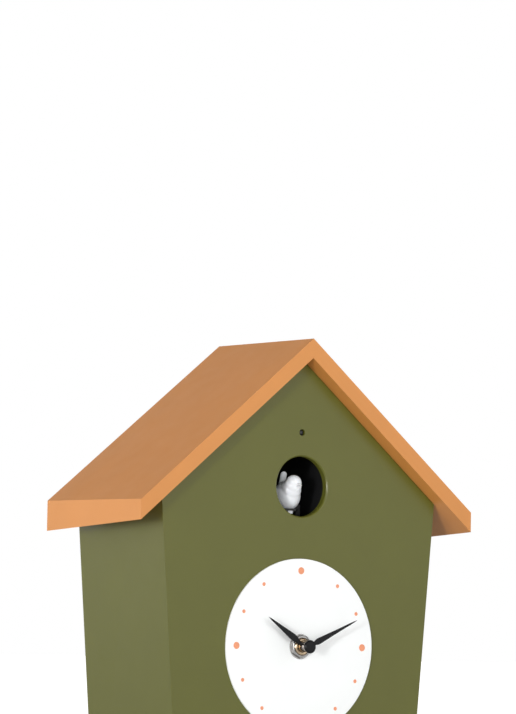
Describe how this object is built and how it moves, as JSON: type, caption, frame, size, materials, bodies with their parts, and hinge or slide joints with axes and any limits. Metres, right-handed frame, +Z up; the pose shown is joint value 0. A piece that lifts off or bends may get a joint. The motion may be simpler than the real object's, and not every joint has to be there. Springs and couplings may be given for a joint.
{
  "type": "cuckoo clock",
  "caption": "House-shaped battery cuckoo clock with a pitched roof, white dial, two hands and a bird that slides out of a round hole.",
  "frame": {"origin": "middle of the bounding box at the level of the base", "axes": "+Z up, -Y the front with the dial, +Y the wall behind, +X the viewer's right"},
  "size_m": [0.2304, 0.102, 0.3065],
  "materials": {
    "house_green": "satin moulded",
    "roof_orange": "satin moulded",
    "dial_white": "satin",
    "hand_black": "satin",
    "plated_steel": "plated",
    "bright_brass": "machined",
    "copper_wire": "enamelled winding",
    "case_black": "satin moulded",
    "gear_natural": "natural acetal",
    "bird_white": "satin",
    "circuit_green": "solder mask",
    "seal_rubber": "matt",
    "cell_jacket": "plain printed jacket"
  },
  "bodies": {
    "case": {"front_shell": "house_green", "back_cover": "house_green", "roof_shell": "roof_orange", "dial_disc": "dial_white", "shaft_washer": "plated_steel", "hex_nut": "plated_steel", "back_screw_1": "plated_steel", "back_screw_2": "plated_steel", "back_screw_3": "plated_steel", "back_screw_4": "plated_steel", "stator": "plated_steel", "coil_core": "plated_steel", "quartz_crystal": "plated_steel", "aa_contact_plus": "plated_steel", "aa_contact_minus": "plated_steel", "motor": "plated_steel", "speaker_frame": "plated_steel", "speaker_magnet": "plated_steel", "tray_contact_plus": "plated_steel", "tray_contact_minus": "plated_steel", "switch_body": "plated_steel", "threaded_bushing": "bright_brass", "drive_coil": "copper_wire", "movement_case": "case_black", "movement_cover": "case_black", "carriage_guide": "case_black", "bird_housing": "case_black", "light_sensor": "case_black", "sound_chip": "case_black", "speaker_cone": "case_black", "battery_tray": "case_black", "motor_bracket": "gear_natural", "movement_board": "circuit_green", "sound_board": "circuit_green", "case_gasket": "seal_rubber", "motor_lead": "seal_rubber", "speaker_lead": "seal_rubber", "aa_cell": "cell_jacket", "c_cell_1": "cell_jacket", "c_cell_2": "cell_jacket"},
    "minute_hands": {"minute_pipe": "plated_steel", "minute_hand": "hand_black", "hand_cap": "hand_black"},
    "hour_hands": {"hour_wheel": "bright_brass", "hour_hand": "hand_black"},
    "motion_work": {"motion_wheel": "gear_natural", "setting_knob": "gear_natural"},
    "centre_wheel": {"centre_wheel": "bright_brass"},
    "third_wheel": {"third_wheel": "gear_natural"},
    "seconds_wheel": {"seconds_wheel": "gear_natural"},
    "intermediate_wheel": {"intermediate_wheel": "gear_natural"},
    "rotor": {"rotor": "plated_steel"},
    "bird_carriage": {"bird": "bird_white", "bird_deck": "case_black", "carriage_rack": "bird_white"},
    "drive_gear": {"drive_gear": "gear_natural"},
    "motor_shaft": {"motor_pinion": "bright_brass"},
    "mode_switch": {"mode_switch": "bird_white"},
    "battery_door": {"battery_door": "house_green"},
    "movement_door": {"movement_door": "house_green"}
  },
  "joints": [
    {"name": "minute_turn", "type": "hinge", "parent": "case", "child": "minute_hands", "pos_m": [0, -0.04, 0.13], "axis": [0, 1, 0], "continuous": true},
    {"name": "hour_turn", "type": "hinge", "parent": "case", "child": "hour_hands", "pos_m": [0, -0.04, 0.13], "axis": [0, 1, 0], "continuous": true},
    {"name": "motion_turn", "type": "hinge", "parent": "case", "child": "motion_work", "pos_m": [-0.00846, -0.03, 0.12692], "axis": [0, 1, 0], "continuous": true},
    {"name": "seconds_turn", "type": "hinge", "parent": "case", "child": "seconds_wheel", "pos_m": [0, -0.027, 0.13], "axis": [0, 1, 0], "continuous": true},
    {"name": "centre_turn", "type": "hinge", "parent": "case", "child": "centre_wheel", "pos_m": [0, -0.029, 0.13], "axis": [0, 1, 0], "continuous": true},
    {"name": "third_turn", "type": "hinge", "parent": "case", "child": "third_wheel", "pos_m": [0.00408, -0.028, 0.13707], "axis": [0, 1, 0], "continuous": true},
    {"name": "intermediate_turn", "type": "hinge", "parent": "case", "child": "intermediate_wheel", "pos_m": [-0.00552, -0.025, 0.13463], "axis": [0, 1, 0], "continuous": true},
    {"name": "rotor_turn", "type": "hinge", "parent": "case", "child": "rotor", "pos_m": [-0.00676, -0.025, 0.14166], "axis": [0, 1, 0], "continuous": true},
    {"name": "bird_slide", "type": "slide", "parent": "case", "child": "bird_carriage", "axis": [0, -1, 0], "range_m": [0, 0.022]},
    {"name": "drive_turn", "type": "hinge", "parent": "case", "child": "drive_gear", "pos_m": [0, -0.016, 0.20123], "axis": [1, 0, 0], "range_deg": [0, 257.3]},
    {"name": "motor_turn", "type": "hinge", "parent": "case", "child": "motor_shaft", "pos_m": [0.026, -0.00377, 0.19863], "axis": [1, 0, 0], "range_deg": [-1029.5, 0]},
    {"name": "switch_slide", "type": "slide", "parent": "case", "child": "mode_switch", "axis": [1, 0, 0], "range_m": [0, 0.005]},
    {"name": "battery_door_off", "type": "slide", "parent": "case", "child": "battery_door", "axis": [0, 1, 0], "range_m": [0, 0.03]},
    {"name": "movement_door_off", "type": "slide", "parent": "case", "child": "movement_door", "axis": [0, 1, 0], "range_m": [0, 0.03]}
  ],
  "couplings": [
    {"joint": "hour_turn", "follows": "minute_turn", "ratio": 0.083333},
    {"joint": "motion_turn", "follows": "minute_turn", "ratio": -0.33333},
    {"joint": "centre_turn", "follows": "seconds_turn", "ratio": 0.016667},
    {"joint": "third_turn", "follows": "seconds_turn", "ratio": -0.125},
    {"joint": "intermediate_turn", "follows": "seconds_turn", "ratio": -5},
    {"joint": "rotor_turn", "follows": "seconds_turn", "ratio": 30},
    {"joint": "drive_turn", "follows": "bird_slide", "rad_per_m": 204.08},
    {"joint": "motor_turn", "follows": "bird_slide", "rad_per_m": -816.33}
  ]
}
